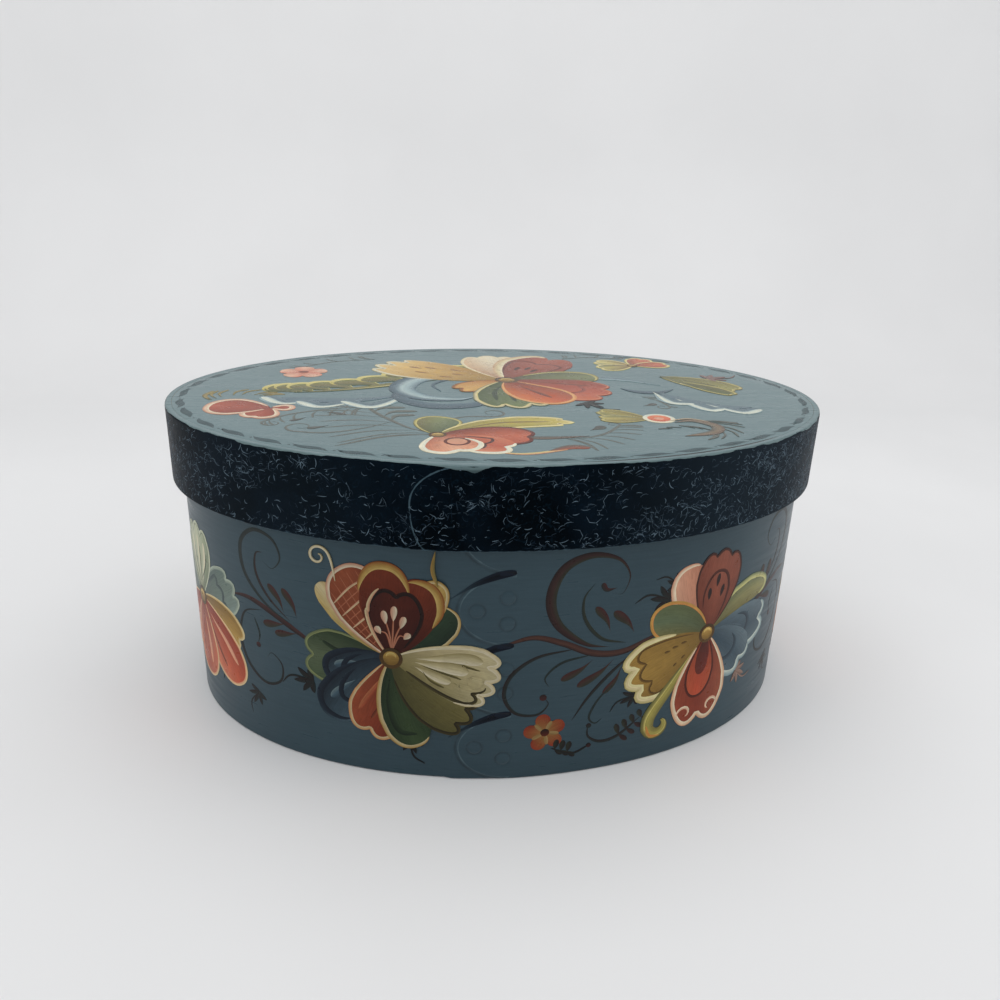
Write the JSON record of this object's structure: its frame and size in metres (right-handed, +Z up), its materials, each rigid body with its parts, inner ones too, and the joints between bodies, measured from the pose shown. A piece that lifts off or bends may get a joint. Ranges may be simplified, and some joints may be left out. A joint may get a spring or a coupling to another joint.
{
  "type": "oval bentwood box with lift-off lid",
  "caption": "Oval bentwood box: a bent strip with tacked finger laps round a pegged bottom board, and a close-fitting lift-off lid.",
  "frame": {"origin": "middle of the footprint, on the surface the box stands on", "axes": "+X along the length of the oval, +Y away from the lapped front, +Z up; the front with the laps faces -Y"},
  "size_m": [0.3, 0.2128, 0.1394],
  "materials": {
    "body_paint": "satin",
    "lid_band_paint": "satin",
    "lid_top_paint": "satin",
    "bare_wood": "matte",
    "peg_wood": "matte",
    "tack_metal": "satin"
  },
  "bodies": {
    "box": {"body_band": "body_paint", "bottom_board": "bare_wood", "body_tack_1_tip": "tack_metal", "body_tack_1_upper": "tack_metal", "body_tack_1_lower": "tack_metal", "body_tack_2_tip": "tack_metal", "body_tack_2_upper": "tack_metal", "body_tack_2_lower": "tack_metal", "body_tack_3_tip": "tack_metal", "body_tack_3_upper": "tack_metal", "body_tack_3_lower": "tack_metal", "body_tack_4_tip": "tack_metal", "body_tack_4_upper": "tack_metal", "body_tack_4_lower": "tack_metal", "bottom_peg_1": "peg_wood", "bottom_peg_2": "peg_wood", "bottom_peg_3": "peg_wood", "bottom_peg_4": "peg_wood", "bottom_peg_5": "peg_wood", "bottom_peg_6": "peg_wood", "bottom_peg_7": "peg_wood", "bottom_peg_8": "peg_wood"},
    "lid": {"lid_band": "lid_band_paint", "lid_board": "lid_top_paint", "lid_tack_tip": "tack_metal", "lid_tack_upper": "tack_metal", "lid_tack_lower": "tack_metal", "lid_peg_1": "peg_wood", "lid_peg_2": "peg_wood", "lid_peg_3": "peg_wood", "lid_peg_4": "peg_wood", "lid_peg_5": "peg_wood", "lid_peg_6": "peg_wood", "lid_peg_7": "peg_wood", "lid_peg_8": "peg_wood"}
  },
  "joints": [
    {"name": "lid_lift", "type": "slide", "parent": "box", "child": "lid", "axis": [0, 0, 1], "range_m": [0, 0.1]}
  ]
}
